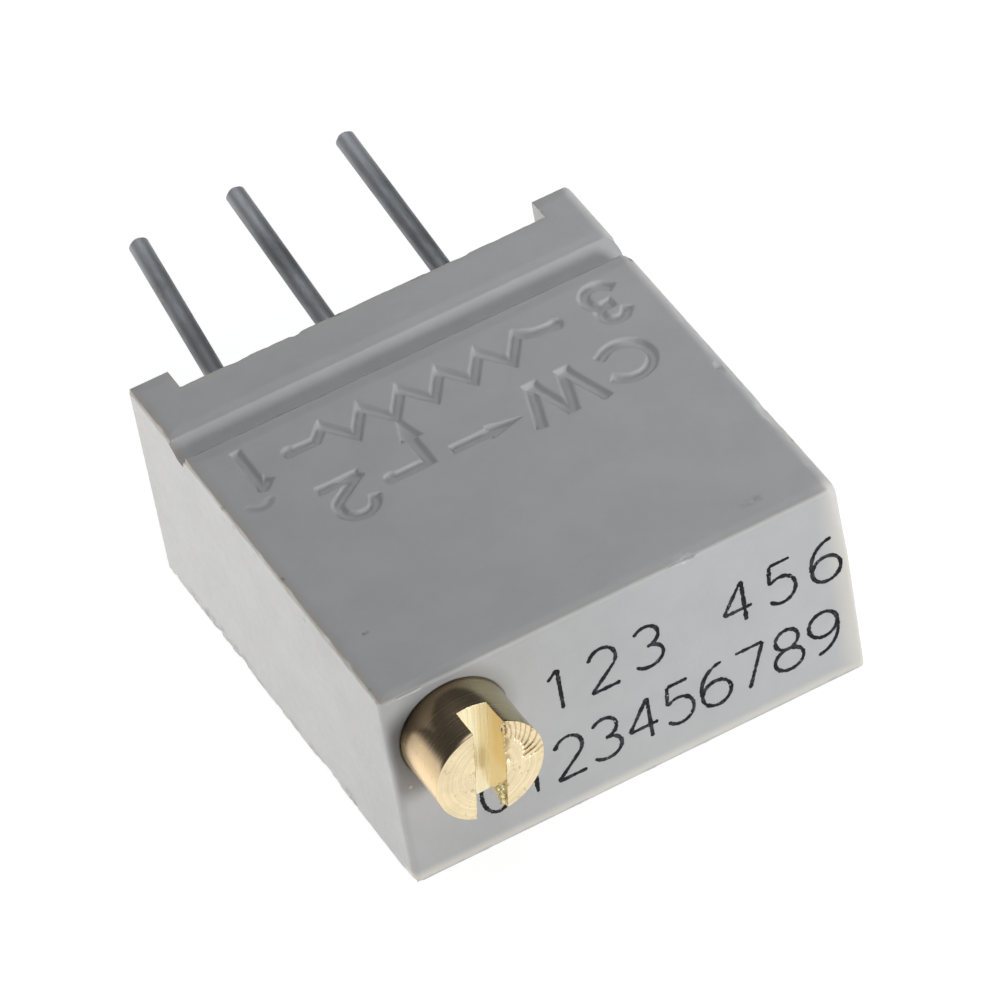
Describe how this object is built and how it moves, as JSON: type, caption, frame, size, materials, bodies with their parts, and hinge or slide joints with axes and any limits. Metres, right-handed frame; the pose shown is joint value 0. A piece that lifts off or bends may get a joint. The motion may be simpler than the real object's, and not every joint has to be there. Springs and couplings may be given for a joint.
{
  "type": "trimmer potentiometer",
  "caption": "Square grey multi-turn trimming resistor with a slotted brass adjusting screw at one corner, standoff feet and bent terminal pins in a row.",
  "frame": {"origin": "middle of the housing's outline, feet included, on the potted back face", "axes": "+X towards terminal 3, +Y along the pins away from the adjusting screw, +Z out of the face with the moulded schematic"},
  "size_m": [0.0094, 0.0171, 0.0046],
  "materials": {
    "housing": "moulded light grey plastic with a fine grain",
    "screw_brass": "turned brass with tool marks",
    "seal_rubber": "smooth rubber",
    "retainer_steel": "stamped",
    "gear_plastic": "moulded natural nylon",
    "wiper_alloy": "rolled spring alloy",
    "ceramic": "fired alumina ceramic",
    "resistive_film": "fired cermet film",
    "silver_film": "fired silver film",
    "tinned_wire": "dull tinned copper wire",
    "solder": "solder",
    "potting": "cast epoxy"
  },
  "bodies": {
    "housing": {"housing": "housing", "screw_retainer": "retainer_steel", "ceramic_substrate": "ceramic", "resistive_track": "resistive_film", "collector_ring": "silver_film", "end_pad_1": "silver_film", "end_pad_3": "silver_film", "terminal_pin_1": "tinned_wire", "terminal_pin_2": "tinned_wire", "terminal_pin_3": "tinned_wire", "solder_joint_1": "solder", "solder_joint_2": "solder", "solder_joint_3": "solder", "potting": "potting"},
    "screw": {"adjustment_screw": "screw_brass", "screw_seal": "seal_rubber"},
    "gear": {"worm_gear": "gear_plastic", "wiper_contact": "wiper_alloy"}
  },
  "joints": [
    {"name": "screw_turn", "type": "hinge", "parent": "housing", "child": "screw", "pos_m": [-0.00344, -0.0051, 0.00332], "axis": [0, 1, 0], "range_deg": [-4500, 4500]},
    {"name": "gear_turn", "type": "hinge", "parent": "housing", "child": "gear", "pos_m": [0.00016, -0.001, 0.00332], "axis": [0, 0, 1], "range_deg": [-150, 150]}
  ],
  "couplings": [
    {"joint": "gear_turn", "follows": "screw_turn", "ratio": 0.033333}
  ]
}
